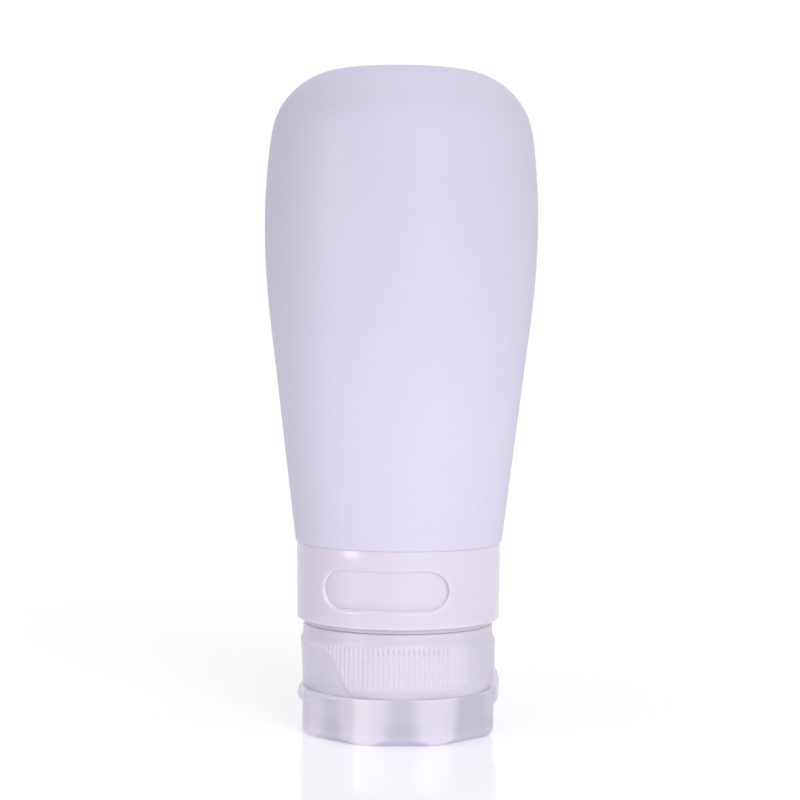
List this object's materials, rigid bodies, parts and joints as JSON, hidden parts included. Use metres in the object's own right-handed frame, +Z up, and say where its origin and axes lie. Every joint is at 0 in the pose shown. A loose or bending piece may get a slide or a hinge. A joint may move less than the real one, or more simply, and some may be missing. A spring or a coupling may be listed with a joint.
{
  "type": "travel squeeze bottle",
  "caption": "Soft silicone travel squeeze bottle with a threaded neck, a turning window collar, a ribbed screw cap and an eight-sided flip lid, standing on its lid.",
  "frame": {"origin": "centre of the lid's outer face, on the surface that the bottle stands on", "axes": "+Z up through the bottle's axis to its closed end, lid hinge at +X, thumb tab at -X, seen from in front along +Y"},
  "size_m": [0.0488, 0.0486, 0.1185],
  "materials": {
    "silicone_lilac": "satin translucent silicone",
    "collar_plastic": "gloss, milky with a pink cast",
    "label_plastic": "semi-gloss",
    "neck_plastic": "semi-gloss, pinkish white",
    "cap_plastic": "milky translucent, gloss",
    "valve_silicone": "clear silicone",
    "clamp_plastic": "matte"
  },
  "bodies": {
    "cap": {"cap_body": "cap_plastic", "slit_valve": "valve_silicone", "valve_retainer": "clamp_plastic"},
    "lid": {"flip_lid": "cap_plastic"},
    "gasket": {"neck_gasket": "valve_silicone"},
    "bottle": {"silicone_body": "silicone_lilac", "neck_insert": "neck_plastic", "clamp_ring": "clamp_plastic", "label_ring": "label_plastic"},
    "collar": {"collar_sleeve": "collar_plastic"}
  },
  "joints": [
    {"name": "lid_hinge", "type": "hinge", "parent": "cap", "child": "lid", "pos_m": [0.01795, 0, 0.00815], "axis": [0, -1, 0], "range_deg": [0, 180]},
    {"name": "neck_lift", "type": "slide", "parent": "cap", "child": "gasket", "axis": [0, 0, 1], "range_m": [0, 0.012]},
    {"name": "cap_turn", "type": "hinge", "parent": "gasket", "child": "bottle", "pos_m": [0, 0, 0], "axis": [0, 0, 1], "range_deg": [0, 720]},
    {"name": "collar_turn", "type": "hinge", "parent": "bottle", "child": "collar", "pos_m": [0, 0, 0.027], "axis": [0, 0, 1], "continuous": true}
  ],
  "couplings": [
    {"joint": "neck_lift", "follows": "cap_turn", "m_per_rad": 0.00095493}
  ]
}
